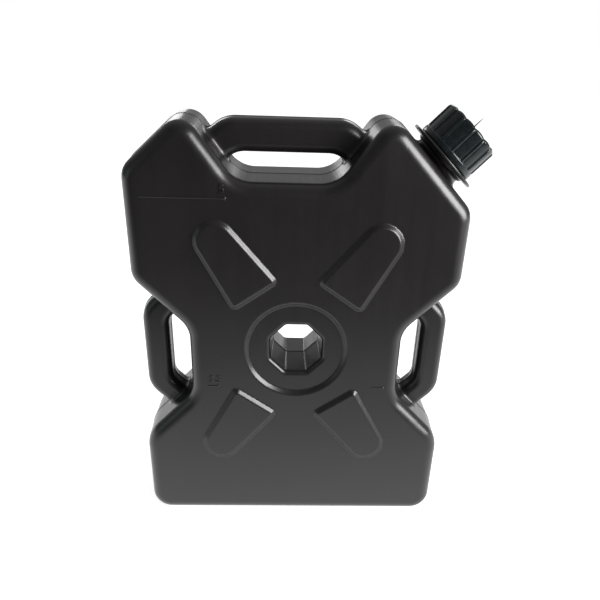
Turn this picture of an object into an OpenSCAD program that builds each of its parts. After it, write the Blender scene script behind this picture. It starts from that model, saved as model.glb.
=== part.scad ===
// Flat fuel can, blow moulded in one piece with three loop handles, a slanted
// filler neck and a screw cap with its seal.
// The front face looks along -Y, +Z is up, and the origin is the middle of the
// base, on the parting plane between the two mould halves.

/* [Body] */
// Width across the two lobes, at the flat faces
can_w = 271; // [255:1:300]
// Thickness between the two flat faces
can_t = 77; // [66:1:90]
// Rounding where a face turns into a side
edge_r = 10.5; // [6:0.5:14]
// How far the parting line stands proud of the face outline
draft = 1; // [0.5:0.5:3]
// Blown wall
wall = 2; // [1.2:0.1:2.8]
// Rounding of the outer corners of the outline
corner_r = 18; // [12:1:20]
// Rounding of the shoulders of the lower lobe
low_corner_r = 50; // [20:2:56]
// Rounding of the inner corners of the outline
valley_r = 25; // [16:1:28]
// Rounding of the two horn tips
horn_r = 16; // [10:0.5:18]

/* [Outline] */
// Width of the waist between the lobes
waist_w = 182.5; // [160:0.5:190]
// Height of the straight sides of the lower lobe
low_side_h = 87; // [78:1:95]
// Height at which the straight sides of the upper lobe begin
high_side_z = 239; // [232:1:252]
// Height of the corner where the left side meets its slope
left_corner_z = 326; // [310:0.5:330]
// Height of the corner where the right side meets the neck shoulder
right_corner_z = 299.5; // [290:0.5:305]
// Slope of the outer side of the left horn, from level
left_slope = 42; // [38:0.2:44]
// Slope of the neck shoulder, from level
neck_slope = 46; // [43:0.5:48]
// Height of the floor of the hand recess
recess_z = 318; // [305:1:322]
// Distance of the left end of the recess floor from the middle
recess_left = 49.5; // [44:0.5:54]
// Distance of the right end of the recess floor from the middle
recess_right = 28; // [24:1:34]
// Rounding of the two ends of the recess floor
recess_r = 26; // [12:1:30]
// Slope of the recess sides, from level
recess_slope = 53.5; // [50:0.5:56]

/* [Handles] */
// Height of the top handle bar, at its faces
top_bar_w = 25; // [18:0.5:26]
// Depth of the top handle bar
top_bar_t = 24; // [18:1:30]
// Height of the upper side of the top handle
top_bar_z = 361; // [355:1:364]
// Width of the side handle bars, at their faces
side_bar_w = 22.5; // [15:0.5:24]
// How far the side handles lie inside the flat sides of the lobes
side_bar_in = 1; // [0:0.5:3]
// Depth of the side handle bars
side_bar_t = 28; // [20:1:34]
// Height of the lower bend of the side handles
side_bend_z = 125.5; // [118:0.5:132]
// Height of the upper bend of the side handles
side_bend_top_z = 202; // [196:1:208]
// Outer rounding of the bends
bend_r = 25; // [14:1:28]
// Inner rounding of the bends of the side handles
bend_inner_r = 13; // [6:1:16]
// Inner rounding of the bends of the top handle
top_inner_r = 22; // [6:1:28]
// How far the left end of the top handle reaches out past the recess floor
top_left_out = 9; // [7:0.5:14]
// How far its right end reaches out past the recess floor
top_right_out = 9.5; // [7:0.5:14]
// Rounding of the bar edges
bar_edge_r = 7; // [4:0.5:8]
// How far the parting line of a bar stands proud of its faces
bar_draft = 0.5; // [0:0.5:2]

/* [Pads] */
// Distance of the wide flat end of a pad from the middle of the hole
pad_near = 59; // [54:1:62]
// Distance of the middle of the round end
pad_far = 116; // [108:1:118]
// Width of the flat end, at the foot
pad_end_w = 48; // [40:1:52]
// Radius of the round end, at the foot
pad_end_r = 18; // [14:0.5:20]
// Radius of the two corners of the flat end, at the foot
pad_corner_r = 6; // [5:0.5:9]
// Angle of the pad axis, from level
pad_angle = 55.3; // [53:0.1:58]
// Height of a pad over the face
pad_h = 3; // [1.5:0.5:4.5]
// Width of the sloped side of a pad
pad_slope = 5; // [2:0.5:5]

/* [Middle hole] */
// Height of the middle of the hole over the base
hole_z = 178; // [172:0.5:181]
// Radius of the round seat at the face
seat_r = 43; // [40:0.5:46]
// Width of the sloped rim of the seat
seat_rim = 7; // [3:0.5:8]
// Depth of the round seat
seat_depth = 3; // [1.5:0.5:5]
// Distance across the flats of the hole, at the seat
hole_flats = 45; // [38:0.5:48]
// Narrowing of the hole at the parting plane, across the flats
hole_taper = 5; // [1:0.5:6]

/* [Neck] */
// Distance of the neck axis from the right corner, along the shoulder
neck_along = 40.5; // [38:0.5:42]
// Outer radius of the neck at its root
neck_r = 21.6; // [21:0.1:23]
// Radius of the neck bore
neck_bore_r = 19.5; // [17:0.1:19.8]
// Radius of the threaded part of the neck
finish_r = 22.5; // [22:0.1:23]
// Height of the neck ring over the shoulder
ring_up = 7; // [5:0.5:9]
// Radius of the neck ring
ring_r = 32.5; // [30:0.5:34]
// Thickness of the neck ring
ring_t = 2.2; // [1.2:0.1:3]
// Fillet under the neck ring and at the root of the neck
neck_fillet = 2.5; // [1:0.5:4]
// Height of the threaded part over the neck ring
finish_h = 20.5; // [16:0.5:22]

/* [Cap] */
// Outer radius of the cap skirt
cap_r = 25.7; // [25.5:0.1:27]
// Height of the cap from its foot to its rim
cap_h = 28.5; // [25:0.1:32]
// Narrowing of the skirt towards the rim
cap_taper = 0.2; // [0:0.1:1.2]
// Height of the smooth band at the foot of the cap
cap_band_h = 5; // [3:0.5:7]
// How far the smooth band stands proud of the skirt
cap_band_out = 0.9; // [0.4:0.1:2]
// Wall of the cap skirt
cap_wall = 2.2; // [1.8:0.1:2.6]
// Thickness of the cap top
cap_top_t = 2.5; // [1.5:0.1:3]
// Width of the rim round the sunk top of the cap
cap_rim_w = 3; // [2:0.1:5]
// Number of grip ribs
rib_count = 14; // [8:1:18]
// Radius of a grip rib
rib_r = 1.3; // [0.8:0.1:1.6]
// Free space between the neck ring and the cap
cap_gap = 0.8; // [0.4:0.1:1.5]

/* [Seal] */
// Thickness of the seal disc
seal_t = 2; // [1:0.1:3]
// Free space between the seal and the cap wall
seal_clear = 0.4; // [0.3:0.05:0.6]
// Free space at each face of the seal
seal_gap = 0.05; // [0.02:0.01:0.2]

/* [Hidden] */

half_w = can_w / 2;
half_t = can_t / 2;
waist = waist_w / 2;
// The slopes between the waist and the lobes stand at 45 degrees.
lobe_step = half_w - waist;
waist_low_z = low_side_h + lobe_step;
waist_top_z = high_side_z - lobe_step;
arc_steps = 4;
edge_steps = 4;
// The arms of the handles reach this far past their bends, to ends inside the body.
arm = 4 * edge_r;
bar_steps = 3;
hole_mid = [0, hole_z];

// The neck axis stands square on the shoulder.
neck_foot = [half_w - neck_along * cos(neck_slope), right_corner_z + neck_along * sin(neck_slope)];
neck_tilt = 90 - neck_slope;
shoulder_up = draft;
ring_z = shoulder_up + ring_up;
lip_z = ring_z + ring_t + finish_h;
cap_foot_z = ring_z + ring_t + cap_gap;
seal_r = cap_r - cap_wall - seal_clear;
cap_rim_z = cap_foot_z + cap_h;
cap_inner_z = lip_z + seal_t + 2 * seal_gap;
neck_root = edge_r + 8;
rim_round = 1.4;
rib_sink = 0.4;
lip_round = 1;

// Point where two lines meet: through p at angle a, and through q at angle b.
function meet(p, a, q, b) =
    let (
        u = [cos(a), sin(a)],
        v = [cos(b), sin(b)],
        w = q - p,
        t = (w.x * v.y - w.y * v.x) / (u.x * v.y - u.y * v.x)
    )
    p + t * u;

function unit(v) = v / norm(v);

// The arc that rounds the corner p between its neighbours a and b of a clockwise
// outline, with the whole outline set in by inset.
function corner(a, p, b, r, steps, inset) =
    let (
        u = unit(a - p),
        v = unit(b - p),
        half = acos(u * v) / 2,
        centre = p + unit(u + v) * r / sin(half),
        from = p + u * r / tan(half) - centre,
        to = p + v * r / tan(half) - centre,
        start = atan2(from.y, from.x),
        turn = (atan2(to.y, to.x) - start + 900) % 360 - 180,
        arc_r = turn < 0 ? r - inset : r + inset
    )
    [for (i = [0:steps]) centre + arc_r * [cos(start + turn * i / steps), sin(start + turn * i / steps)]];

// An outline with its corners rounded, each given as [[x, z], radius], and set in.
function rounded(corners, steps, inset) =
    let (n = len(corners))
    [
        for (i = [0:n - 1])
            each corner(corners[(i + n - 1) % n][0], corners[i][0], corners[(i + 1) % n][0],
                        corners[i][1], steps, inset)
    ];

left_horn = meet([-half_w, left_corner_z], left_slope, [-recess_left, recess_z], 180 - recess_slope);
right_horn = meet([half_w, right_corner_z], 180 - neck_slope, [recess_right, recess_z], recess_slope);

// The corners of the face outline, clockwise from the lower left one.
outline = [
    [[-half_w, 0], corner_r],
    [[-half_w, low_side_h], low_corner_r],
    [[-waist, waist_low_z], valley_r],
    [[-waist, waist_top_z], valley_r],
    [[-half_w, high_side_z], corner_r],
    [[-half_w, left_corner_z], corner_r],
    [left_horn, horn_r],
    [[-recess_left, recess_z], recess_r],
    [[recess_right, recess_z], recess_r],
    [right_horn, horn_r],
    [[half_w, right_corner_z], corner_r],
    [[half_w, high_side_z], corner_r],
    [[waist, waist_top_z], valley_r],
    [[waist, waist_low_z], valley_r],
    [[half_w, low_side_h], low_corner_r],
    [[half_w, 0], corner_r]
];

// A bar that bends in at both ends, as the clockwise line of its outer side.
// The arms run on into the body, square to the slope that they meet.
top_arm = 90 - recess_slope;
top_left = [-recess_left - top_left_out, top_bar_z];
top_right = [recess_right + top_right_out, top_bar_z];
top_bar_line = [
    top_left - arm * [cos(top_arm), sin(top_arm)],
    top_left,
    top_right,
    top_right + arm * [cos(top_arm), -sin(top_arm)]
];
side_bar_x = half_w - side_bar_in;
side_bar_line = [
    [side_bar_x - arm * cos(45), side_bend_top_z + arm * sin(45)],
    [side_bar_x, side_bend_top_z],
    [side_bar_x, side_bend_z],
    [side_bar_x - arm * cos(45), side_bend_z - arm * sin(45)]
];

// The corners of a bar: its outer line, then the same line set in by its width.
function bar_corners(line, width, inner_r) =
    let (
        n = [for (i = [0:2]) unit([line[i + 1].y - line[i].y, line[i].x - line[i + 1].x])],
        inner = [
            line[0] + width * n[0],
            for (i = [1:2]) line[i] + width * (n[i - 1] + n[i]) / (1 + n[i - 1] * n[i]),
            line[3] + width * n[2]
        ],
        end_r = bar_edge_r + 1
    )
    [
        [line[0], end_r],
        [line[1], bend_r],
        [line[2], bend_r],
        [line[3], end_r],
        [inner[3], end_r],
        [inner[2], inner_r],
        [inner[1], inner_r],
        [inner[0], end_r]
    ];

// The layers of a moulded edge from the front to the back, each [inset, depth]: the
// rounded front edge, the proud parting line in the middle, and the rounded back edge.
function edge_layers(half, r, out, inset, steps) =
    let (
        front = [
            for (i = [0:steps])
                [inset + r * (1 - sin(90 * i / steps)), -half + r * (1 - cos(90 * i / steps))]
        ]
    )
    [each front, [inset - out, 0], for (i = [steps:-1:0]) [front[i].x, -front[i].y]];

// A solid through layers of one clockwise outline, closed at each end by a fan from
// middle, or for a long bar by a strip across it.
module moulded(corners, steps, layers, middle = undef) {
    count = len(corners) * (steps + 1);
    last = len(layers) - 1;
    strip = is_undef(middle);
    points = [
        for (layer = layers, p = rounded(corners, steps, layer[0])) [p.x, layer[1], p.y],
        if (!strip) [middle.x, layers[0][1], middle.y],
        if (!strip) [middle.x, layers[last][1], middle.y]
    ];
    hub = count * (last + 1);
    back = count * last;
    sides = [
        for (k = [0:last - 1], i = [0:count - 1])
            let (
                f = k * count,
                j = (i + 1) % count
            )
            each [[f + i, f + count + i, f + count + j], [f + i, f + count + j, f + j]]
    ];
    fans = [
        for (i = [0:count - 1])
            let (j = (i + 1) % count)
            each [[hub, i, j], [hub + 1, back + j, back + i]]
    ];
    strips = [
        for (i = [0:count / 2 - 2])
            let (
                a = count - 2 - i,
                b = count - 1 - i
            )
            each [[i, i + 1, a], [i, a, b], [back + i, back + a, back + i + 1], [back + i, back + b, back + a]]
    ];
    polyhedron(points, concat(sides, strip ? strips : fans));
}

module main_slab(inset) {
    moulded(outline, arc_steps, edge_layers(half_t - inset, edge_r - inset, draft, inset, edge_steps), hole_mid);
}

module bar(line, width, depth, inner_r, inset) {
    moulded(bar_corners(line, width, inner_r), bar_steps,
            edge_layers(depth / 2 - inset, bar_edge_r - inset, bar_draft, inset, bar_steps));
}

module bars(inset) {
    bar(top_bar_line, top_bar_w, top_bar_t, top_inner_r, inset);
    bar(side_bar_line, side_bar_w, side_bar_t, bend_inner_r, inset);
    mirror([1, 0, 0]) bar(side_bar_line, side_bar_w, side_bar_t, bend_inner_r, inset);
}

// Angle between the axis of a pad and its straight sides, which touch the round end.
pad_lean = atan2(pad_end_w / 2, pad_far - pad_near) - asin(pad_end_r / norm([pad_far - pad_near, pad_end_w / 2]));
pad_tip = pad_far + pad_end_r;
pad_tip_w = pad_end_w / 2 - (pad_tip - pad_near) * tan(pad_lean);
pad_corners = [
    [[pad_near, -pad_end_w / 2], pad_corner_r],
    [[pad_near, pad_end_w / 2], pad_corner_r],
    [[pad_tip, pad_tip_w], pad_end_r - 0.5],
    [[pad_tip, -pad_tip_w], pad_end_r - 0.5]
];

// The eight pads, four on each face, sunk by one wall for the inside.
module pads(sink) {
    face = half_t - sink;
    layers = [[pad_slope, -face - pad_h], [0, -face], [0, -face + 1]];
    translate([0, 0, hole_z])
        for (back = [0, 1], left = [0, 1], low = [0, 1])
            mirror([0, back, 0]) mirror([left, 0, 0]) mirror([0, 0, low])
                rotate([0, -pad_angle, 0])
                moulded(pad_corners, arc_steps, layers, [pad_far, 0]);
}

// Turns something made along +Z so that it looks out of the front or the back face.
module each_face() {
    translate([0, 0, hole_z])
        for (back = [0, 1])
            mirror([0, back, 0]) rotate([90, 0, 0]) children();
}

// The round seat of the hole on both faces, sunk by one wall for the inside.
module seats(sink) {
    foot_r = seat_r - seat_rim;
    run = seat_depth + sink + 1;
    each_face()
        translate([0, 0, half_t - seat_depth - sink])
        cylinder(h = run, r1 = foot_r, r2 = foot_r + run * seat_rim / seat_depth, $fn = 64);
}

// The eight-sided hole, narrowest at the parting plane.
module hole(grow) {
    wide = (hole_flats / 2 + grow) / cos(22.5);
    tight = wide - hole_taper / 2 / cos(22.5);
    each_face() rotate(22.5) cylinder(h = half_t, r1 = tight, r2 = wide, $fn = 8);
}

// Everything below this level is cut away.
module below(level) {
    translate([-can_w, -can_w, level - can_w]) cube([2 * can_w, 2 * can_w, can_w]);
}

// Places a piece on the neck axis, with its zero on the shoulder line.
module on_neck() {
    translate([neck_foot.x, 0, neck_foot.y]) rotate([0, neck_tilt, 0]) children();
}

// The neck: a root that reaches into the shoulder, the ring and the threaded part.
module neck_outside() {
    rotate_extrude($fn = 96)
        polygon([
            [0, -wall],
            [neck_r + neck_fillet, -wall],
            [neck_r + neck_fillet, shoulder_up],
            for (i = [0:5]) [neck_r + neck_fillet * (1 - sin(18 * i)), shoulder_up + neck_fillet * (1 - cos(18 * i))],
            [neck_r, ring_z - neck_fillet],
            for (i = [0:5]) [neck_r + neck_fillet * (1 - cos(18 * i)), ring_z - neck_fillet * (1 - sin(18 * i))],
            [ring_r, ring_z],
            [ring_r, ring_z + ring_t],
            [finish_r, ring_z + ring_t],
            [finish_r, lip_z - lip_round],
            [finish_r - lip_round, lip_z],
            [0, lip_z]
        ]);
}

// The can without its neck, solid, or its inside when set in by the wall.
module shell_form(inset) {
    difference() {
        union() {
            main_slab(inset);
            bars(inset);
            pads(inset);
        }
        seats(inset);
        hole(inset);
        below(inset);
    }
}

module can_body() {
    color("#26282b")
        difference() {
        union() {
            difference() {
                shell_form(0);
                shell_form(wall);
            }
            on_neck() neck_outside();
        }
        on_neck() translate([0, 0, -neck_root]) cylinder(h = neck_root + lip_z + 1, r = neck_bore_r, $fn = 96);
    }
}

module screw_cap() {
    inner_r = cap_r - cap_wall;
    band_z = cap_foot_z + cap_band_h;
    top_z = cap_inner_z + cap_top_t;
    rim_r = cap_r - cap_taper - rim_round;
    rib_h = cap_rim_z - 2 * rim_round - band_z;
    color("#1d2022")
        on_neck() {
        rotate_extrude($fn = 96)
            polygon([
                [0, cap_inner_z],
                [inner_r, cap_inner_z],
                [inner_r, cap_foot_z],
                [cap_r + cap_band_out, cap_foot_z],
                [cap_r + cap_band_out, band_z],
                [cap_r, band_z],
                [cap_r - cap_taper, cap_rim_z - rim_round],
                [rim_r, cap_rim_z],
                [rim_r - cap_rim_w, cap_rim_z],
                [rim_r - cap_rim_w, top_z],
                [0, top_z]
            ]);
        for (i = [0:rib_count - 1])
            rotate(360 * (i + 0.5) / rib_count)
                translate([cap_r - rib_sink, 0, band_z - rib_sink])
                cylinder(h = rib_h + rib_sink, r = rib_r, $fn = 24);
    }
}

module cap_seal() {
    color("#c9c4b6")
        on_neck()
        translate([0, 0, lip_z + seal_gap])
        cylinder(h = seal_t, r = seal_r, $fn = 96);
}

can_body();
screw_cap();
cap_seal();
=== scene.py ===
# %% [markdown]
# A flat fuel can, seen from a little above. The real one is a single hollow skin of black
# polyethylene, blown out inside a mould of two halves, with a screw cap moulded on its own.
# The lesson builds the skin as one smooth surface from distances, turns the cap on its
# axis, and then spends its care on what black plastic shows: its sheen and its edges.

import math

import bpy
import numpy as np
from mathutils import Matrix, Vector


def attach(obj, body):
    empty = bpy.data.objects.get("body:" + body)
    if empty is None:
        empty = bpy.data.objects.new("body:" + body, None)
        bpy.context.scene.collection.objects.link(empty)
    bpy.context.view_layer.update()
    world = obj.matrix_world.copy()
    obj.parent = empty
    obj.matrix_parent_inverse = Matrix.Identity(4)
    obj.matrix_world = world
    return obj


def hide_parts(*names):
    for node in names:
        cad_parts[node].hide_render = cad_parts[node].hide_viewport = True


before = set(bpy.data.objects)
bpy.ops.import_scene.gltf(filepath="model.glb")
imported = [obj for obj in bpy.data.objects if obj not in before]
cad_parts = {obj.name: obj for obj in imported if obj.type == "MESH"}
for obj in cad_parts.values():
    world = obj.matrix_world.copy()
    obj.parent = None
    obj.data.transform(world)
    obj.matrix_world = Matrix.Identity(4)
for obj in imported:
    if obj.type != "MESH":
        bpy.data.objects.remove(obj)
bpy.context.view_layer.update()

# %% [markdown]
# The camera stands in front of the can and looks down on it by 29 degrees. It is close, so
# the can narrows towards its foot. The small shift stands for a photo that was cropped.

# %% Camera
CAMERA_AT = (-0.0136, -0.5244, 0.4310)
YAW, PITCH, ROLL = -0.046, 0.504, 0.036


def camera_axes(yaw, pitch, roll):
    """The camera's right, up and backward directions, as columns."""
    right = Vector((math.cos(yaw), math.sin(yaw), 0))
    ahead = Vector((-math.sin(yaw), math.cos(yaw), 0))
    look = ahead * math.cos(pitch) - Vector((0, 0, math.sin(pitch)))
    up = ahead * math.sin(pitch) + Vector((0, 0, math.cos(pitch)))
    turned_right = right * math.cos(roll) + up * math.sin(roll)
    turned_up = up * math.cos(roll) - right * math.sin(roll)
    return Matrix((turned_right, turned_up, -look)).transposed()


camera = bpy.data.objects.new("camera", bpy.data.cameras.new("camera"))
bpy.context.scene.collection.objects.link(camera)
camera.matrix_world = Matrix.Translation(CAMERA_AT) @ camera_axes(YAW, PITCH, ROLL).to_4x4()
camera.data.sensor_width = 36
camera.data.lens = 38.32
camera.data.shift_x = -0.0095
camera.data.shift_y = 0.1113
camera.data.clip_start = 0.01
bpy.context.scene.camera = camera

# %% [markdown]
# All sizes are in millimetres, as on a drawing of the can, and turn into metres when a mesh
# is made. The outline is a list of sharp corners, each with the radius that rounds it.

# %% Sizes of the can
HALF_W = 135.5
HALF_T = 38.5
EDGE_R = 10.5
PROUD = 0.6
HOLE_Z = 178.0
NECK_FOOT = (107.366, 328.633)
NECK_TILT = math.radians(44)
LOW_SIDE_Z, HIGH_SIDE_Z = 86, 239
LEFT_CORNER_Z, RIGHT_CORNER_Z = 326, 299.5
WAIST, WAIST_LOW, WAIST_TOP = 91.25, 131.25, 194.75
RECESS_Z, RECESS_LEFT, RECESS_RIGHT = 318, -49.5, 28
CORNER_R, LOW_SIDE_R, WAIST_R, HORN_R, RECESS_R = 18, 34, 25, 16, 26


def slope_meet(p, a, q, b):
    """Where the line through p at angle a crosses the line through q at angle b."""
    u = (math.cos(math.radians(a)), math.sin(math.radians(a)))
    v = (math.cos(math.radians(b)), math.sin(math.radians(b)))
    w = (q[0] - p[0], q[1] - p[1])
    t = (w[0] * v[1] - w[1] * v[0]) / (u[0] * v[1] - u[1] * v[0])
    return (p[0] + t * u[0], p[1] + t * u[1])


LEFT_HORN = slope_meet((-HALF_W, LEFT_CORNER_Z), 42, (RECESS_LEFT, RECESS_Z), 126.5)
RIGHT_HORN = slope_meet((HALF_W, RIGHT_CORNER_Z), 134, (RECESS_RIGHT, RECESS_Z), 53.5)
OUTLINE = [
    ((-HALF_W, 0), CORNER_R), ((-HALF_W, LOW_SIDE_Z), LOW_SIDE_R), ((-WAIST, WAIST_LOW), WAIST_R),
    ((-WAIST, WAIST_TOP), WAIST_R), ((-HALF_W, HIGH_SIDE_Z), CORNER_R),
    ((-HALF_W, LEFT_CORNER_Z), CORNER_R), (LEFT_HORN, HORN_R), ((RECESS_LEFT, RECESS_Z), RECESS_R),
    ((RECESS_RIGHT, RECESS_Z), RECESS_R), (RIGHT_HORN, HORN_R), ((HALF_W, RIGHT_CORNER_Z), CORNER_R),
    ((HALF_W, HIGH_SIDE_Z), CORNER_R), ((WAIST, WAIST_TOP), WAIST_R), ((WAIST, WAIST_LOW), WAIST_R),
    ((HALF_W, LOW_SIDE_Z), LOW_SIDE_R), ((HALF_W, 0), CORNER_R),
]
print("horns at", [tuple(round(v, 1) for v in p) for p in (LEFT_HORN, RIGHT_HORN)])

# %% [markdown]
# A rounded outline is drawn as many short straight steps. Each corner becomes an arc that
# touches both of its sides, so nothing bulges where the arc begins.

# %% Rounded outlines
def rounded(corners, steps=14):
    """A closed outline as points, from [(corner, radius), ...]."""
    points = []
    for i, (p, r) in enumerate(corners):
        p = np.array(p, float)
        u = np.array(corners[i - 1][0], float) - p
        v = np.array(corners[(i + 1) % len(corners)][0], float) - p
        u, v = u / np.linalg.norm(u), v / np.linalg.norm(v)
        half = math.acos(np.clip(u @ v, -1, 1)) / 2
        centre = p + (u + v) / np.linalg.norm(u + v) * r / math.sin(half)
        first, last = p + u * r / math.tan(half) - centre, p + v * r / math.tan(half) - centre
        start = math.atan2(first[1], first[0])
        turn = (math.atan2(last[1], last[0]) - start + 3 * math.pi) % (2 * math.pi) - math.pi
        for k in range(steps + 1):
            a = start + turn * k / steps
            points.append(centre + r * np.array([math.cos(a), math.sin(a)]))
    return np.array(points)


def distance_to(outline, x, z):
    """Signed distance from points to a closed outline, negative inside."""
    best = np.full(x.shape, 1e9)
    inside = np.zeros(x.shape, bool)
    for (ax, az), (bx, bz) in zip(outline, np.roll(outline, -1, 0)):
        ex, ez = bx - ax, bz - az
        wx, wz = x - ax, z - az
        t = np.clip((wx * ex + wz * ez) / max(ex * ex + ez * ez, 1e-12), 0, 1)
        best = np.minimum(best, (wx - t * ex) ** 2 + (wz - t * ez) ** 2)
        if ez != 0:
            inside ^= ((az > z) != (bz > z)) & (wx < wz * ex / ez)
    return np.sqrt(best) * np.where(inside, -1, 1)


# %% [markdown]
# Each handle is a bar that bends in at both ends and runs on into the body. Its outline is
# its outer line and the same line set in by the bar's width.

# %% Outlines of the handles
BAR_ARM = 42


def bar_outline(line, width, bend=25, inner_bend=13, end=8):
    """The closed outline of a bar from its clockwise outer line."""
    line = [np.array(p, float) for p in line]
    normals = []
    for p, q in zip(line, line[1:]):
        n = np.array([q[1] - p[1], p[0] - q[0]])
        normals.append(n / np.linalg.norm(n))
    inner = [line[0] + width * normals[0]]
    for i in (1, 2):
        n, m = normals[i - 1], normals[i]
        inner.append(line[i] + width * (n + m) / (1 + n @ m))
    inner.append(line[3] + width * normals[2])
    radii = [end, bend, bend, end]
    inner_radii = [end, inner_bend, inner_bend, end]
    return rounded(list(zip(line, radii)) + list(zip(inner, inner_radii))[::-1])


def bent_line(left, right, top, angle, arm=BAR_ARM):
    """A level bar from left to right whose ends bend down by the angle."""
    c, s = math.cos(math.radians(angle)), math.sin(math.radians(angle))
    return [(left - arm * c, top - arm * s), (left, top), (right, top), (right + arm * c, top - arm * s)]


BODY_OUTLINE = rounded(OUTLINE)
TOP_BAR = bar_outline(bent_line(-58.5, 37.5, 361, 36.5), 25, inner_bend=22)
ARM = BAR_ARM * math.sqrt(0.5)
BAR_X, BAR_TOP, BAR_LOW = HALF_W - 1, 202, 125.5
SIDE_LINE = [(BAR_X - ARM, BAR_TOP + ARM), (BAR_X, BAR_TOP), (BAR_X, BAR_LOW),
             (BAR_X - ARM, BAR_LOW - ARM)]
SIDE_BAR = bar_outline(SIDE_LINE, 22.5)
print("outlines:", len(BODY_OUTLINE), "points for the body,", len(TOP_BAR), "for a handle")

# %% [markdown]
# Four pads stand round the hole on each face. A pad is a wedge with a round end, so its
# straight sides have to lean just enough to touch the round. The hole has eight sides.

# %% Outlines of pads and hole
SEAT_FOOT = 40.3
PAD_NEAR, PAD_FAR, PAD_END_W, PAD_END_R = 59.0, 116.0, 48.0, 18.0
lean = math.atan2(PAD_END_W / 2, PAD_FAR - PAD_NEAR) - math.asin(
    PAD_END_R / math.hypot(PAD_FAR - PAD_NEAR, PAD_END_W / 2))
tip = PAD_FAR + PAD_END_R
tip_w = PAD_END_W / 2 - (tip - PAD_NEAR) * math.tan(lean)
PAD = rounded([((PAD_NEAR, -PAD_END_W / 2), 6), ((PAD_NEAR, PAD_END_W / 2), 6),
               ((tip, tip_w), PAD_END_R - 0.2), ((tip, -tip_w), PAD_END_R - 0.2)], 16)
PAD_ANGLE = math.radians(55.3)

HOLE_R = 20 / math.cos(math.pi / 8)
HOLE = rounded([((HOLE_R * math.cos(a), HOLE_R * math.sin(a)), 2.2)
                for a in [math.pi / 8 - i * math.pi / 4 for i in range(8)]], 5)

# %% [markdown]
# The skin is the set of points where one distance function is zero. Every form of the can
# is a distance of its own, and a blended minimum joins two of them with a fillet, as the
# soft plastic does when it is blown into a corner of the mould. That is why this way was
# chosen over cutting and joining meshes: fillets, slopes and edges all come out smooth.

# %% Joining distances
def blend_union(a, b, k):
    """Two forms joined, with a fillet about k wide."""
    h = np.clip(0.5 + 0.5 * (b - a) / k, 0, 1)
    return b + (a - b) * h - k * h * (1 - h)


def round_meet(a, b, r):
    """What both forms share, with the edge between them rounded to radius r."""
    u, v = a + r, b + r
    return np.minimum(np.maximum(u, v), 0) + np.hypot(np.maximum(u, 0), np.maximum(v, 0)) - r


def moulded(flat, y, half, r, proud, relief=0.0):
    """A two-sided moulded form, from the distance to its outline in the front view."""
    depth = np.abs(y)
    tilt = math.atan2(proud, half - r)
    side = (flat - proud) * math.cos(tilt) + depth * math.sin(tilt)
    return round_meet(side, depth - half - relief, r)


# %% [markdown]
# A blown wall can't follow sharp corners, so each step of the face is a slope of 43 degrees
# with a small round at its foot and a larger one on top. The slope catches the light as a
# band, and the round at the foot as a thin line.

# %% Steps of the two faces
STEP_H, STEP_FOOT_R, STEP_TOP_R, STEP_TILT = 3.0, 1.4, 2.6, math.radians(43)
STEP_WALL = (STEP_H - (STEP_FOOT_R + STEP_TOP_R) * (1 - math.cos(STEP_TILT))) / math.tan(STEP_TILT)
STEP_W = (STEP_FOOT_R + STEP_TOP_R) * math.sin(STEP_TILT) + STEP_WALL
print("a step of the face is", round(STEP_W, 1), "wide and", round(STEP_H, 1), "high")


def step_up(inward):
    """Height of a moulded step at a distance inward from its foot."""
    d = np.clip(inward, 0, STEP_W)
    low = STEP_FOOT_R - np.sqrt(np.maximum(STEP_FOOT_R**2 - d**2, 0))
    high = STEP_H - STEP_TOP_R + np.sqrt(np.maximum(STEP_TOP_R**2 - (STEP_W - d) ** 2, 0))
    foot_w = STEP_FOOT_R * math.sin(STEP_TILT)
    wall = STEP_FOOT_R * (1 - math.cos(STEP_TILT)) + (d - foot_w) * math.tan(STEP_TILT)
    return np.where(d < foot_w, low, np.where(d < foot_w + STEP_WALL, wall, high))


def to_pad(x, z):
    """Distance to the nearest pad's outline. The four pads mirror each other."""
    u, w = np.abs(x), np.abs(z - HOLE_Z)
    along = u * math.cos(PAD_ANGLE) + w * math.sin(PAD_ANGLE)
    across = w * math.cos(PAD_ANGLE) - u * math.sin(PAD_ANGLE)
    return distance_to(PAD, along, across)


# %% [markdown]
# Distances to the outlines are worked out once, on a flat grid of 0.8 mm, and read from it
# after that through cubic curves. It makes the whole script about three times faster than
# a fresh distance for every point, and the skin stays smooth.

# %% Distances in the front view
MESH_2D = 0.8
AT_X, AT_Z = np.arange(-144, 144.1, MESH_2D), np.arange(-6, 371, MESH_2D)
flat_x, flat_z = np.meshgrid(AT_X, AT_Z, indexing="ij")
FLAT = np.stack([distance_to(BODY_OUTLINE, flat_x, flat_z), distance_to(TOP_BAR, flat_x, flat_z),
                 distance_to(SIDE_BAR, np.abs(flat_x), flat_z),
                 distance_to(HOLE, flat_x, flat_z - HOLE_Z), to_pad(flat_x, flat_z)], -1)


def cubic_weights(t):
    """How much each of four neighbouring values counts at t between the middle two."""
    return np.stack([(-t + 2 * t**2 - t**3) / 2, (2 - 5 * t**2 + 3 * t**3) / 2,
                     (t + 4 * t**2 - 3 * t**3) / 2, (t**3 - t**2) / 2])


def plan_at(x, z):
    """Distances to all outlines at points of the front view, in the order of FLAT."""
    i, j = (x - AT_X[0]) / MESH_2D, (z - AT_Z[0]) / MESH_2D
    i0, j0 = np.floor(i).astype(int), np.floor(j).astype(int)
    wi, wj = cubic_weights(i - i0), cubic_weights(j - j0)
    found = np.zeros((*x.shape, FLAT.shape[-1]))
    for a in range(4):
        for b in range(4):
            found += FLAT[i0 + a - 1, j0 + b - 1] * (wi[a] * wj[b])[..., None]
    return np.moveaxis(found, -1, 0)


# %% [markdown]
# Now the forms come together: body and handles, the neck's stem, the hole, and a thin line
# along the middle plane, where the two halves of the mould met. The foot is cut off flat.

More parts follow.
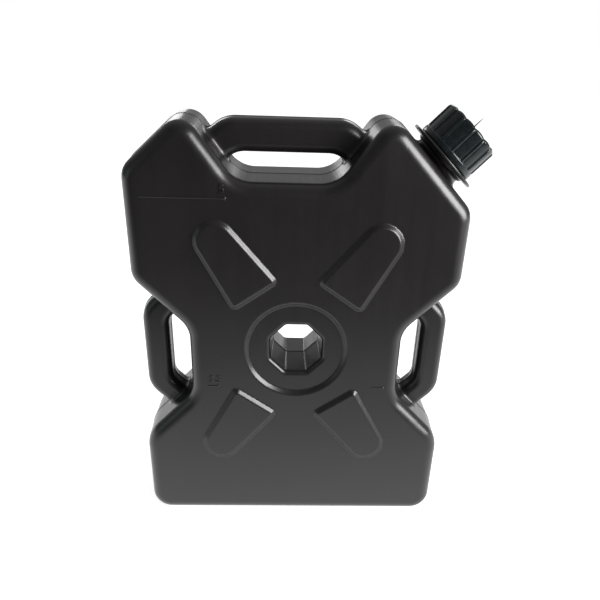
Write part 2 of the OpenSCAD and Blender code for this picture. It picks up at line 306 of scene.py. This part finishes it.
# %% The whole skin as one distance
TOP_BAR_HALF_T, SIDE_BAR_HALF_T, BAR_EDGE_R, BAR_PROUD = 12.0, 14.0, 7.0, 0.5
SIDE_FILLET, TOP_FILLET, NECK_FILLET = 4.0, 5.0, 5.0
STEM_R, STEM_HALF_H = 21.6, 9.2
HOLE_FLARE, HOLE_RIM_R, FOOT_EDGE_R = 2.5, 3.6, 0.8
FLASH_H, FLASH_W = 0.35, 0.45
PAD_INSET = 0.3


def skin_at(x, y, z, plan):
    """Distance to the can's skin, negative inside."""
    to_body, to_top, to_side, to_hole, to_pads = plan
    relief = step_up(-PAD_INSET - to_pads) + step_up(np.hypot(x, z - HOLE_Z) - SEAT_FOOT) - STEP_H
    body = moulded(to_body, y, HALF_T, EDGE_R, PROUD, relief)
    sides = moulded(to_side, y, SIDE_BAR_HALF_T, BAR_EDGE_R, BAR_PROUD)
    top = moulded(to_top, y, TOP_BAR_HALF_T, BAR_EDGE_R, BAR_PROUD)
    can = blend_union(blend_union(body, sides, SIDE_FILLET), top, TOP_FILLET)
    s, c = math.sin(NECK_TILT), math.cos(NECK_TILT)
    along = (x - NECK_FOOT[0]) * s + (z - NECK_FOOT[1]) * c
    across = (x - NECK_FOOT[0]) * c - (z - NECK_FOOT[1]) * s
    stem = np.maximum(np.hypot(across, y) - STEM_R, np.abs(along) - STEM_HALF_H)
    can = blend_union(can, stem, NECK_FILLET)
    opening = to_hole - HOLE_FLARE * np.clip(np.abs(y) / (HALF_T - STEP_H), 0, 1.2)
    can = round_meet(can, -opening, HOLE_RIM_R)
    can = can - FLASH_H * np.exp(-((y / FLASH_W) ** 2))
    return round_meet(can, -z, FOOT_EDGE_R)


# %% [markdown]
# A grid of cubes is laid over the can. Wherever the skin passes through a cube, the cube
# gets one point, and neighbouring points are joined by four-sided faces. The points are
# then pulled onto the skin along its slope, and the slope also gives each point's normal,
# so the shading is as smooth as the function, however coarse the grid. The grid is finer
# across the middle plane, where the two halves of the mould leave a raised line.

# %% From distance to mesh
def skin_faces(values):
    """Quads between grid cubes that the zero level passes through, and the cubes' points."""
    inside = values < 0
    shape = np.array(values.shape) - 1
    total, count, quads = np.zeros((*shape, 3)), np.zeros(shape), []
    for axis in range(3):
        lo = [slice(None)] * 3
        hi = [slice(None)] * 3
        lo[axis], hi[axis] = slice(None, -1), slice(1, None)
        where = np.argwhere(inside[tuple(lo)] != inside[tuple(hi)])
        step = np.eye(3, dtype=int)[axis]
        a = values[tuple(where.T)]
        b = values[tuple((where + step).T)]
        crossing = where + step * (a / (a - b))[:, None]
        s, t = np.eye(3, dtype=int)[(axis + 1) % 3], np.eye(3, dtype=int)[(axis + 2) % 3]
        cells = [where, where - s, where - s - t, where - t]
        for cell in cells:
            np.add.at(total, tuple(cell.T), crossing)
            np.add.at(count, tuple(cell.T), 1)
        quad = np.stack([np.ravel_multi_index(tuple(c.T), tuple(shape)) for c in cells], 1)
        flip = a > 0
        quad[flip] = quad[flip][:, ::-1]
        quads.append(quad)
    used = np.flatnonzero(count.ravel())
    index = np.full(count.size, -1)
    index[used] = np.arange(len(used))
    points = total.reshape(-1, 3)[used] / count.ravel()[used][:, None]
    return points, index[np.concatenate(quads)]


def skin_from(x, y, z):
    """The same distance at loose points, whose place in the front view is looked up."""
    return skin_at(x, y, z, plan_at(x, z))


def slope_of(points, step=0.05):
    """The distance and its slope at each point."""
    x, y, z = points.T
    slope = [
        skin_from(x + step, y, z) - skin_from(x - step, y, z),
        skin_from(x, y + step, z) - skin_from(x, y - step, z),
        skin_from(x, y, z + step) - skin_from(x, y, z - step),
    ]
    return skin_from(x, y, z), np.stack(slope, 1) / (2 * step)


# %% The skin's points
CELL = 1.3
FINE_Y = [0.0, 0.3, 0.6, 1.0, 1.75]
half_y = np.concatenate([FINE_Y, np.arange(1.75 + CELL, 44, CELL)])
axes = [np.arange(-139.3, 139.4, CELL), np.concatenate([-half_y[:0:-1], half_y]),
        np.arange(-2.1, 365.0, CELL)]
flat_x, flat_z = np.meshgrid(axes[0], axes[2], indexing="ij")
grid = np.meshgrid(*axes, indexing="ij", sparse=True)
points, quads = skin_faces(skin_at(*grid, plan_at(flat_x, flat_z)[:, :, None, :]))
points = np.stack([np.interp(p, range(len(a)), a) for p, a in zip(points.T, axes)], 1)
for _ in range(2):
    here, slope = slope_of(points)
    points -= slope * np.clip(here / np.maximum((slope**2).sum(1), 0.2), -1.5, 1.5)[:, None]
print("skin:", len(points), "points,", len(quads), "quads")


# %% [markdown]
# Every piece but the numbers goes through one helper. It turns millimetres into metres, shades the mesh
# smooth, and says which body the piece rides on.

# %% Mesh helper
def new_piece(name, points, faces, body):
    """A smooth mesh piece from points in millimetres, riding on a body."""
    mesh = bpy.data.meshes.new(name)
    mesh.from_pydata([tuple(p) for p in np.asarray(points) / 1000], [], [tuple(map(int, f)) for f in faces])
    mesh.validate()
    mesh.shade_smooth()
    piece = bpy.data.objects.new(name, mesh)
    bpy.context.scene.collection.objects.link(piece)
    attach(piece, body)
    return piece


# %% [markdown]
# Large flat parts of the skin don't need small faces. Blender's Decimate modifier dissolves
# those that lie in one plane. The normals are then set again from the slope of the function.

# %% The can's skin
FLAT_WITHIN = math.radians(0.05)
skin = new_piece("can_skin", points, quads, "can")
flatten = skin.modifiers.new("flat areas", "DECIMATE")
flatten.decimate_type = "DISSOLVE"
flatten.angle_limit = FLAT_WITHIN
dense = skin.data
evaluated = skin.evaluated_get(bpy.context.evaluated_depsgraph_get())
skin.data = bpy.data.meshes.new_from_object(evaluated)
skin.data.name = "can_skin"
skin.modifiers.clear()
bpy.data.meshes.remove(dense)
kept = np.zeros(len(skin.data.vertices) * 3, np.float32)
skin.data.vertices.foreach_get("co", kept)
_, slope = slope_of(kept.reshape(-1, 3).astype(float) * 1000)
normals = slope / np.linalg.norm(slope, axis=1)[:, None]
skin.data.shade_smooth()
skin.data.normals_split_custom_set_from_vertices([tuple(n) for n in normals])
skin.data.calc_loop_triangles()
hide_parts("can_body")
print("skin keeps", len(skin.data.loop_triangles), "triangles")

# %% [markdown]
# Neck, ring and cap are turned on the neck's axis, as they would be on a lathe: a profile
# of radius and height, spun in small steps.

# %% Turning on the neck's axis
def on_neck(radius, angle, height):
    """A point near the neck, from cylinder coordinates round the neck's axis."""
    a, s, c = radius * np.cos(angle), math.sin(NECK_TILT), math.cos(NECK_TILT)
    return np.stack([NECK_FOOT[0] + height * s + a * c, radius * np.sin(angle) + 0 * a,
                     NECK_FOOT[1] + height * c - a * s], -1)


def turned(rows, name, body, steps, shape=None):
    """Spins rows of (radius, height, grip) about the neck, with shape changing each row."""
    angle = np.linspace(0, 2 * math.pi, steps, endpoint=False)
    rings = []
    for radius, height, grip in rows:
        dr, dh = shape(angle, grip) if shape else (0, 0)
        rings.append(on_neck(radius + dr * (radius > 0), angle, height + dh + 0 * angle))
    points = np.concatenate(rings)
    faces = []
    for k in range(len(rows) - 1):
        for i in range(steps):
            j = (i + 1) % steps
            faces.append((k * steps + i, k * steps + j, (k + 1) * steps + j, (k + 1) * steps + i))
    return new_piece(name, points, faces, body)


def hollow_round(r0, h0, r1, h1, n=6):
    """The points of a hollow quarter round between two profile points."""
    rows = []
    for k in range(1, n):
        a = math.pi / 2 * k / n
        rows.append((r0 + (r1 - r0) * (1 - math.cos(a)), h0 + (h1 - h0) * math.sin(a), 0))
    return rows


# %% [markdown]
# The neck's profile runs up its bore, over the lip, down the outside, round the thin ring
# with its rounded edge, and through a hollow round into the stem of the skin.

# %% Neck and ring
neck_rows = [(19.5, 2, 0), (19.5, 30.0, 0), (20.1, 30.7, 0), (21.9, 30.7, 0), (22.5, 30.0, 0),
             (22.5, 10.6, 0), (22.9, 10.2, 0), (31.5, 10.2, 0), (32.1, 10.0, 0), (32.4, 9.6, 0),
             (32.5, 9.1, 0), (32.4, 8.6, 0), (32.1, 8.2, 0), (31.5, 8.0, 0), (24.4, 8.0, 0)]
neck_rows += hollow_round(24.4, 8.0, 21.7, 5.2)
neck_rows += [(21.7, 5.2, 0), (21.5, 3.0, 0)]
ring = turned(neck_rows, "neck_ring", "can", 160)
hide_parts("can_body")


# %% [markdown]
# The neck carries a thread of two turns, a round ridge that climbs 4 mm a turn. It only
# shows under the cap's rim when the cap is screwed up. It is swept point by point here.

# %% Thread
THREAD_TURNS, THREAD_PITCH, THREAD_AT = 2.2, 4.0, 15.0
THREAD_N, STEPS_A_TURN, RUN_OUT_STEPS = 9, 72, 9
thread_points, thread_faces = [], []
thread_steps = int(THREAD_TURNS * STEPS_A_TURN)
for i in range(thread_steps + 1):
    turn = i / STEPS_A_TURN
    run_out = min(1.0, i / RUN_OUT_STEPS, (thread_steps - i) / RUN_OUT_STEPS)
    for k in range(THREAD_N):
        a = math.pi * k / (THREAD_N - 1)
        r = 22.3 + 0.9 * run_out * math.sin(a)
        h = THREAD_AT + THREAD_PITCH * turn - 0.9 * math.cos(a)
        thread_points.append(on_neck(r, np.array(2 * math.pi * turn), h))
for i in range(thread_steps):
    for k in range(THREAD_N - 1):
        a = i * THREAD_N + k
        thread_faces.append((a, a + 1, a + THREAD_N + 1, a + THREAD_N))
thread = new_piece("neck_thread", thread_points, thread_faces, "can")
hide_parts("can_body")

# %% [markdown]
# The cap is a moulded screw cap with thin ribs for grip. Between the ribs its rim bulges a
# little, so the edge looks scalloped against the light.

# %% Screw cap
RIBS = 14


def grip_shape(angle, grip):
    """How a row of the cap moves out at the ribs and along the axis between them."""
    rib, scallop = grip
    phase = (angle * RIBS / (2 * math.pi)) % 1
    off = np.minimum(phase, 1 - phase) * 2 * math.pi / RIBS * 26
    bump = np.sqrt(np.clip(1 - (off / 1.0) ** 2, 0, 1))
    groove = np.exp(-((off - 1.7) / 0.55) ** 2)
    return rib * (0.85 * bump - 0.25 * groove), scallop * 0.8 * (np.sin(math.pi * phase) ** 0.7 - 1)


N = (0, 0)
cap_rows = [(0.001, 32.8, N), (23.6, 32.8, N), (23.6, 11.9, N), (24.1, 11.1, N), (24.4, 11.0, N),
            (26.0, 11.0, N), (26.4, 11.15, N), (26.6, 11.5, N), (26.6, 15.2, N), (26.5, 15.65, N),
            (26.2, 15.95, N), (25.8, 16.0, (0.05, 0)), (25.7, 16.1, (0.25, 0))]
for rise, grip in ((0.25, 0.6), (0.6, 0.85), (1.2, 1.0), (6, 1.0), (12, 1.0), (18, 1.0), (21, 1.0)):
    cap_rows.append((25.7 - 0.2 * rise / 23, 16.1 + rise, (grip, 0.0)))
cap_rows += [(25.5, 37.7, (0.4, 0.2)), (25.2, 38.3, (0.1, 0.6)), (24.6, 38.9, (0, 0.9)),
             (24.1, 39.3, (0, 1.0)), (23.6, 39.45, (0, 1.0)), (23.1, 39.4, (0, 0.8)),
             (22.7, 39.1, (0, 0.4)), (22.5, 38.6, N), (22.3, 36.2, N), (22.1, 35.7, N), (21.6, 35.4, N),
             (21.0, 35.3, N), (0.001, 35.3, N)]
cap = turned(cap_rows, "cap_skin", "cap", RIBS * 32, grip_shape)
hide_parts("screw_cap")

# %% [markdown]
# A thin strand stands on the cap's rim. It was drawn out of the mould's inlet when the cap
# was pulled off it, and was never trimmed.

# %% Strand on the rim
STRAND_R, STRAND_ANGLE, STRAND_N = 23.8, math.radians(-107), 8
strand_points = []
for height, r in ((38.4, 0.5), (41, 0.42), (44, 0.33), (47.4, 0.12)):
    for k in range(STRAND_N):
        b = 2 * math.pi * k / STRAND_N
        at = np.array(STRAND_ANGLE + r * math.sin(b) / STRAND_R)
        strand_points.append(on_neck(STRAND_R + r * math.cos(b), at, height))
strand_faces = [tuple(range(STRAND_N))[::-1], tuple(range(3 * STRAND_N, 4 * STRAND_N))]
for i in range(3):
    for k in range(STRAND_N):
        j = (k + 1) % STRAND_N
        low, high = i * STRAND_N, (i + 1) * STRAND_N
        strand_faces.append((low + k, low + j, high + j, high + k))
strand = new_piece("cap_strand", strand_points, strand_faces, "cap")
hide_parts("screw_cap")

# %% [markdown]
# Two fill lines stand on the front face as fine raised lines, with numbers as on a dial.

# %% Level marks
FACE_Y = -HALF_T


def raised_line(x0, x1, z, width=1.3, height=0.6):
    """A fine half-round ridge on the front face."""
    pts, faces = [], []
    n = 8
    for x in np.linspace(x0, x1, 2):
        for k in range(n + 1):
            a = math.pi * k / n
            pts.append((x, FACE_Y + 0.05 - height * math.sin(a), z - width / 2 * math.cos(a)))
    for k in range(n):
        faces.append((k, k + 1, n + 2 + k, n + 1 + k))
    return pts, faces


def dome(x, z, r, height=0.8):
    """A low round dot on the front face."""
    pts, faces, n = [(x, FACE_Y - height, z)], [], 20
    rings = 4
    for j in range(1, rings + 1):
        a = math.pi / 2 * j / rings
        for k in range(n):
            b = 2 * math.pi * k / n
            pts.append((x + r * math.sin(a) * math.cos(b), FACE_Y + 0.05 - height * math.cos(a),
                        z + r * math.sin(a) * math.sin(b)))
    for k in range(n):
        faces.append((0, 1 + (k + 1) % n, 1 + k))
    for j in range(rings - 1):
        for k in range(n):
            m = (k + 1) % n
            faces.append((1 + j * n + k, 1 + j * n + m, 1 + (j + 1) * n + m, 1 + (j + 1) * n + k))
    return pts, faces


mark_points, mark_faces = [], []
for pts, faces in [raised_line(-122.1, -57.6, 307.1), dome(-57.6, 307.1, 1.5),
                   raised_line(-76.6, -67.5, 142.4), dome(-67.5, 142.4, 1.2),
                   raised_line(67.6, 77.8, 142.4), dome(77.8, 142.4, 1.2)]:
    mark_faces += [tuple(len(mark_points) + i for i in f) for f in faces]
    mark_points += pts
marks = new_piece("level_marks", mark_points, mark_faces, "can")
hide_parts("can_body")


# %% [markdown]
# The numbers are text curves with a little depth and a bevelled edge, turned to meshes.

# %% Numbers at the marks
def number(name, words, x, z, size):
    """Raised figures on the front face, with their lower left corner at x, z."""
    letters = bpy.data.curves.new(name, "FONT")
    letters.body = words
    letters.size = size / 1000
    letters.extrude = 0.0005
    letters.bevel_depth = 0.0002
    holder = bpy.data.objects.new(name + "_text", letters)
    bpy.context.scene.collection.objects.link(holder)
    mesh = bpy.data.meshes.new_from_object(holder.evaluated_get(bpy.context.evaluated_depsgraph_get()))
    bpy.data.objects.remove(holder)
    place = Matrix.Translation((x / 1000, FACE_Y / 1000, z / 1000))
    mesh.transform(place @ Matrix.Rotation(math.pi / 2, 4, "X"))
    piece = bpy.data.objects.new(name, mesh)
    bpy.context.scene.collection.objects.link(piece)
    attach(piece, "can")
    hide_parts("can_body")
    return piece


number_five = number("number_5", "5", -61.5, 311.5, 8.5)
number_half = number("number_2.5", "2.5", -75.3, 146.4, 8.5)
pieces_black = [skin, ring, thread, marks, number_five, number_half]


# %% [markdown]
# High-density polyethylene with carbon black, blown against a fine blasted mould. It is
# nearly black with a satin sheen, a fine skin of pits, and faint streaks where the soft
# tube was drawn through its die: upright on the faces, from front to back on the top. Its
# IOR is 1.54. A noise pattern that is stretched in one direction draws such streaks.

# %% Material helpers
def linear(hex_colour):
    """An sRGB hex colour as linear RGBA."""
    values = [int(hex_colour[i:i + 2], 16) / 255 for i in (1, 3, 5)]
    return tuple(v / 12.92 if v <= 0.04045 else ((v + 0.055) / 1.055) ** 2.4 for v in values) + (1.0,)


def new_material(name):
    """A material with one Principled shader."""
    material = bpy.data.materials.new(name)
    material.use_nodes = True
    return material, material.node_tree, material.node_tree.nodes["Principled BSDF"]


def add_node(tree, kind, settings=None, values=None, links=None):
    """One node with its settings, socket values and incoming links."""
    node = tree.nodes.new(kind)
    for key, value in (settings or {}).items():
        setattr(node, key, value)
    for key, value in (values or {}).items():
        node.inputs[key].default_value = value
    for key, socket in (links or {}).items():
        tree.links.new(socket, node.inputs[key])
    return node


def colour_steps(tree, source, steps):
    """A colour ramp over a source, from [(position, hex colour), ...] with two steps."""
    ramp = add_node(tree, "ShaderNodeValToRGB", links={"Fac": source})
    for element, (position, colour) in zip(ramp.color_ramp.elements, steps):
        element.position, element.color = position, linear(colour)
    return ramp.outputs["Color"]


# %% [markdown]
# The pits are about 1 mm apart and the streaks a few millimetres, which is coarser than on
# the real wall, since finer ones would not show at this size of picture.

# %% Blow-moulded polyethylene
def moulded_hdpe():
    material, tree, shader = new_material("blow-moulded HDPE")
    shader.inputs["IOR"].default_value = 1.54
    coords = add_node(tree, "ShaderNodeTexCoord")
    place, facing = coords.outputs["Object"], coords.outputs["Normal"]
    parts = add_node(tree, "ShaderNodeSeparateXYZ", links={"Vector": facing})
    flat_on = add_node(tree, "ShaderNodeMath", {"operation": "ABSOLUTE"}, links={0: parts.outputs["Y"]})
    on_face = add_node(tree, "ShaderNodeMapRange", values={"From Min": 0.35, "From Max": 0.8},
                       links={"Value": flat_on.outputs[0]})
    upright = add_node(tree, "ShaderNodeMapping", values={"Scale": (1, 1, 0.03)}, links={"Vector": place})
    across = add_node(tree, "ShaderNodeMapping", values={"Scale": (1, 0.03, 1)}, links={"Vector": place})
    streaks = []
    for mapping, size in ((across, 260), (upright, 160)):
        streaks.append(add_node(tree, "ShaderNodeTexNoise", values={"Scale": size, "Detail": 3},
                                links={"Vector": mapping.outputs["Vector"]}).outputs["Fac"])
    drawn = add_node(tree, "ShaderNodeMix",
                     links={0: on_face.outputs["Result"], 2: streaks[0], 3: streaks[1]})
    pits = add_node(tree, "ShaderNodeTexNoise", values={"Scale": 900, "Detail": 2}, links={"Vector": place})
    cloud = add_node(tree, "ShaderNodeTexNoise", values={"Scale": 14, "Detail": 4}, links={"Vector": place})
    tone = colour_steps(tree, cloud.outputs["Fac"], [(0.35, "#151313"), (0.7, "#1a1818")])
    tree.links.new(tone, shader.inputs["Base Color"])
    rough = add_node(tree, "ShaderNodeMapRange", values={"To Min": 0.25, "To Max": 0.37},
                     links={"Value": drawn.outputs[0]})
    tree.links.new(rough.outputs["Result"], shader.inputs["Roughness"])
    fine = add_node(tree, "ShaderNodeBump", values={"Strength": 0.10, "Distance": 0.0003},
                    links={"Height": pits.outputs["Fac"]})
    lines = add_node(tree, "ShaderNodeBump", values={"Strength": 0.20, "Distance": 0.0004},
                     links={"Height": drawn.outputs[0], "Normal": fine.outputs["Normal"]})
    tree.links.new(lines.outputs["Normal"], shader.inputs["Normal"])
    return material


hdpe = moulded_hdpe()
for piece in pieces_black:
    piece.data.materials.clear()
    piece.data.materials.append(hdpe)


# %% [markdown]
# The cap is injection moulded polypropylene from a polished mould, so it is glossier than
# the can. The seal is foamed polyethylene, cut from sheet: pale, matt and finely pitted.

# %% Moulded polypropylene and foam
def moulded_pp():
    material, tree, shader = new_material("moulded PP")
    shader.inputs["IOR"].default_value = 1.49
    place = add_node(tree, "ShaderNodeTexCoord").outputs["Object"]
    wave = add_node(tree, "ShaderNodeTexNoise", values={"Scale": 220, "Detail": 2}, links={"Vector": place})
    tone = colour_steps(tree, wave.outputs["Fac"], [(0.3, "#0f1416"), (0.75, "#161c1e")])
    tree.links.new(tone, shader.inputs["Base Color"])
    gloss = add_node(tree, "ShaderNodeMapRange", values={"To Min": 0.16, "To Max": 0.26},
                     links={"Value": wave.outputs["Fac"]})
    tree.links.new(gloss.outputs["Result"], shader.inputs["Roughness"])
    bump = add_node(tree, "ShaderNodeBump", values={"Strength": 0.08, "Distance": 0.0003},
                    links={"Height": wave.outputs["Fac"]})
    tree.links.new(bump.outputs["Normal"], shader.inputs["Normal"])
    return material


def foamed_pe():
    material, tree, shader = new_material("foamed PE")
    place = add_node(tree, "ShaderNodeTexCoord").outputs["Object"]
    cells = add_node(tree, "ShaderNodeTexVoronoi", values={"Scale": 2500}, links={"Vector": place})
    tone = colour_steps(tree, cells.outputs["Distance"], [(0.0, "#b9b3a4"), (1.0, "#dcd7ca")])
    tree.links.new(tone, shader.inputs["Base Color"])
    shader.inputs["Roughness"].default_value = 0.85
    bump = add_node(tree, "ShaderNodeBump", values={"Strength": 0.3, "Distance": 0.0002},
                    links={"Height": cells.outputs["Distance"]})
    tree.links.new(bump.outputs["Normal"], shader.inputs["Normal"])
    return material


pp = moulded_pp()
for piece in (cap, strand):
    piece.data.materials.clear()
    piece.data.materials.append(pp)
seal_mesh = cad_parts["cap_seal"].data
seal_mesh.materials.clear()
seal_mesh.materials.append(foamed_pe())

# %% [markdown]
# Black plastic shows its surroundings more than its own colour, so the floor matters. The
# camera sees it white, with the can's shadow. In the can's gloss it is a white sheet that
# fades out half a metre in front, which makes the face paler towards its foot.

# %% Floor
floor_mesh = bpy.data.meshes.new("floor")
floor_mesh.from_pydata([(-4, -4, 0), (4, -4, 0), (4, 4, 0), (-4, 4, 0)], [], [(0, 1, 2, 3)])
floor = bpy.data.objects.new("floor", floor_mesh)
bpy.context.scene.collection.objects.link(floor)


FLOOR_GLOW = 0.72


def white_sheet():
    """A pale floor that is seen as white, keeps shadows and fades out in reflections."""
    material, tree, shader = new_material("painted floor")
    shader.inputs["Base Color"].default_value = linear("#e6e6e4")
    shader.inputs["Roughness"].default_value = 1.0
    shader.inputs["Specular IOR Level"].default_value = 0.0
    path = add_node(tree, "ShaderNodeLightPath").outputs
    place = add_node(tree, "ShaderNodeTexCoord").outputs["Object"]
    parts = add_node(tree, "ShaderNodeSeparateXYZ", links={"Vector": place})
    sheet = add_node(tree, "ShaderNodeMapRange", values={"From Min": -0.55, "From Max": -0.05,
                     "To Min": 0.06, "To Max": 1.5}, links={"Value": parts.outputs["Y"]})
    mirrored = add_node(tree, "ShaderNodeMath", {"operation": "MULTIPLY"},
                        links={0: sheet.outputs["Result"], 1: path["Is Glossy Ray"]})
    level = add_node(tree, "ShaderNodeMix", values={3: FLOOR_GLOW},
                     links={0: path["Is Camera Ray"], 2: mirrored.outputs[0]})
    glow = add_node(tree, "ShaderNodeEmission", values={"Color": (1, 1, 1, 1)},
                    links={"Strength": level.outputs[0]})
    dull = add_node(tree, "ShaderNodeMixShader", links={0: path["Is Glossy Ray"], 1: shader.outputs[0]})
    both = add_node(tree, "ShaderNodeAddShader", links={0: dull.outputs[0], 1: glow.outputs[0]})
    tree.links.new(both.outputs[0], tree.nodes["Material Output"].inputs["Surface"])
    material.cycles.emission_sampling = "NONE"
    return material


floor_mesh.materials.append(white_sheet())


# %% [markdown]
# A large soft box at the right draws the highlights along the steps and edges. A weak one
# stands at the left, and two behind the can light the tops of its shoulders. A lamp's power
# is worked out from how bright its face should be. The camera doesn't see the boxes.

# %% Lamps
def soft_box(name, towards, distance, size, radiance, colour="#ffffff"):
    """A square area lamp in a direction from the can's middle, which it faces."""
    middle = Vector((0, 0, 0.19))
    lamp = bpy.data.lights.new(name, "AREA")
    lamp.shape = "SQUARE"
    lamp.size = size
    lamp.energy = radiance * math.pi * size * size
    lamp.color = linear(colour)[:3]
    holder = bpy.data.objects.new(name, lamp)
    bpy.context.scene.collection.objects.link(holder)
    holder.location = middle + Vector(towards).normalized() * distance
    holder.rotation_euler = (middle - holder.location).to_track_quat("-Z", "Y").to_euler()
    holder.visible_camera = False
    return holder


soft_box("right_box", (0.80, -0.50, 0.32), 1.3, 0.8, 16)
soft_box("left_box", (-0.9, -0.35, 0.2), 1.4, 0.7, 0.7, "#c8e6e2")
soft_box("back_left_box", (-0.32, 0.93, 0.3), 1.6, 0.4, 4)
soft_box("back_right_box", (0.32, 0.86, 0.45), 1.6, 0.4, 4)

# %% [markdown]
# The room is white to the camera and even for dull surfaces. In gloss it is dark in front
# of the can and paler behind and above it.

# %% Room
world = bpy.data.worlds.new("world")
bpy.context.scene.world = world
world.use_nodes = True
tree = world.node_tree
room = tree.nodes["Background"]
room.inputs["Color"].default_value = (1, 1, 1, 1)
path = add_node(tree, "ShaderNodeLightPath").outputs
heading = add_node(tree, "ShaderNodeTexCoord").outputs["Generated"]
behind = add_node(tree, "ShaderNodeVectorMath", {"operation": "DOT_PRODUCT"},
                  {1: (0, 0.75, 0.66)}, {0: heading})
paler = add_node(tree, "ShaderNodeMapRange", links={"Value": behind.outputs["Value"]},
                 values={"From Min": 0.1, "From Max": 0.95, "To Min": 0.07, "To Max": 0.42})
inside = add_node(tree, "ShaderNodeMix", values={2: 0.45},
                  links={0: path["Is Glossy Ray"], 3: paler.outputs["Result"]})
seen = add_node(tree, "ShaderNodeMix", values={3: 1.0},
                links={0: path["Is Camera Ray"], 2: inside.outputs[0]})
tree.links.new(seen.outputs[0], room.inputs["Strength"])
bpy.context.scene.view_settings.view_transform = "Standard"
